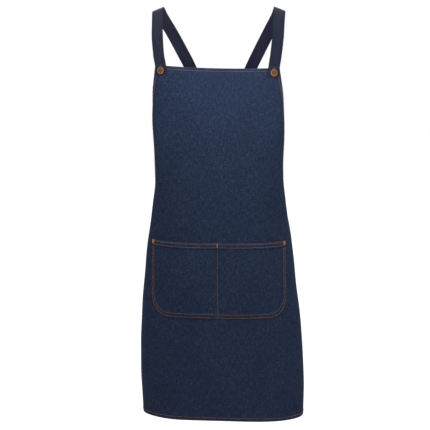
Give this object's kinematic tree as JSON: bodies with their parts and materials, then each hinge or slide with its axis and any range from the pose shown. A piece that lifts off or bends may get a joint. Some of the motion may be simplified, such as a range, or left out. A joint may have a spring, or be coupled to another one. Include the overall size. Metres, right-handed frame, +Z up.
{
  "type": "cross-back bib apron",
  "caption": "Dark denim bib apron in its worn shape, with two tape straps that cross at the back on metal tack buttons, and a wide divided front pocket.",
  "frame": {"origin": "midway between the two places where the straps rest on the wearer's shoulders, at the level of the straps' inner faces there", "axes": "+Z up, the bib and pocket face -Y, +X to the right as seen from the front; left and right in names are as seen from the front"},
  "size_m": [0.3397, 0.2245, 0.8411],
  "materials": {
    "body_denim": "indigo twill denim",
    "pocket_denim": "indigo twill denim",
    "strap_tape": "woven navy tape",
    "copper_thread": "topstitch thread",
    "strap_thread": "navy thread",
    "button_brass": "antique brass",
    "tack_metal": "dull brass",
    "button_core": "moulded core"
  },
  "bodies": {
    "root": {"apron_panel": "body_denim", "pocket_panel": "pocket_denim", "left_strap_back_run": "strap_tape", "right_strap_back_run": "strap_tape", "front_left_tack": "tack_metal", "front_right_tack": "tack_metal", "rear_left_tack": "tack_metal", "rear_right_tack": "tack_metal", "bib_top_stitching": "copper_thread", "hem_stitching": "copper_thread", "left_side_stitching": "copper_thread", "right_side_stitching": "copper_thread", "left_wing_stitching": "copper_thread", "right_wing_stitching": "copper_thread", "pocket_top_stitching": "copper_thread", "pocket_edge_stitching": "copper_thread", "pocket_divider_stitching": "copper_thread", "left_bar_tack": "copper_thread", "centre_bar_tack": "copper_thread", "right_bar_tack": "copper_thread", "left_strap_rear_stitching": "strap_thread", "right_strap_rear_stitching": "strap_thread"},
    "left_strap": {"left_strap_front_run": "strap_tape", "left_strap_front_stitching": "strap_thread"},
    "right_strap": {"right_strap_front_run": "strap_tape", "right_strap_front_stitching": "strap_thread"},
    "front_left_button": {"front_left_cap": "button_brass", "front_left_insert": "button_core", "front_left_shank": "button_brass"},
    "front_right_button": {"front_right_cap": "button_brass", "front_right_insert": "button_core", "front_right_shank": "button_brass"},
    "rear_left_button": {"rear_left_cap": "button_brass", "rear_left_insert": "button_core", "rear_left_shank": "button_brass"},
    "rear_right_button": {"rear_right_cap": "button_brass", "rear_right_insert": "button_core", "rear_right_shank": "button_brass"}
  },
  "joints": [
    {"name": "left_strap_swing", "type": "hinge", "parent": "root", "child": "left_strap", "pos_m": [-0.11157, -0.07462, -0.12614], "axis": [-0.4046, -0.9142, 0.0225], "range_deg": [-8, 8]},
    {"name": "right_strap_swing", "type": "hinge", "parent": "root", "child": "right_strap", "pos_m": [0.11178, -0.07462, -0.13162], "axis": [0.4052, -0.9137, 0.0315], "range_deg": [-8, 8]},
    {"name": "front_left_button_spin", "type": "hinge", "parent": "root", "child": "front_left_button", "pos_m": [-0.11157, -0.07462, -0.12614], "axis": [-0.4046, -0.9142, 0.0225], "continuous": true},
    {"name": "front_right_button_spin", "type": "hinge", "parent": "root", "child": "front_right_button", "pos_m": [0.11178, -0.07462, -0.13162], "axis": [0.4052, -0.9137, 0.0315], "continuous": true},
    {"name": "rear_left_button_spin", "type": "hinge", "parent": "root", "child": "rear_left_button", "pos_m": [-0.07837, 0.07735, -0.46135], "axis": [-0.4403, 0.8661, 0.2365], "continuous": true},
    {"name": "rear_right_button_spin", "type": "hinge", "parent": "root", "child": "rear_right_button", "pos_m": [0.08198, 0.07735, -0.46265], "axis": [0.4435, 0.8649, 0.2348], "continuous": true}
  ]
}
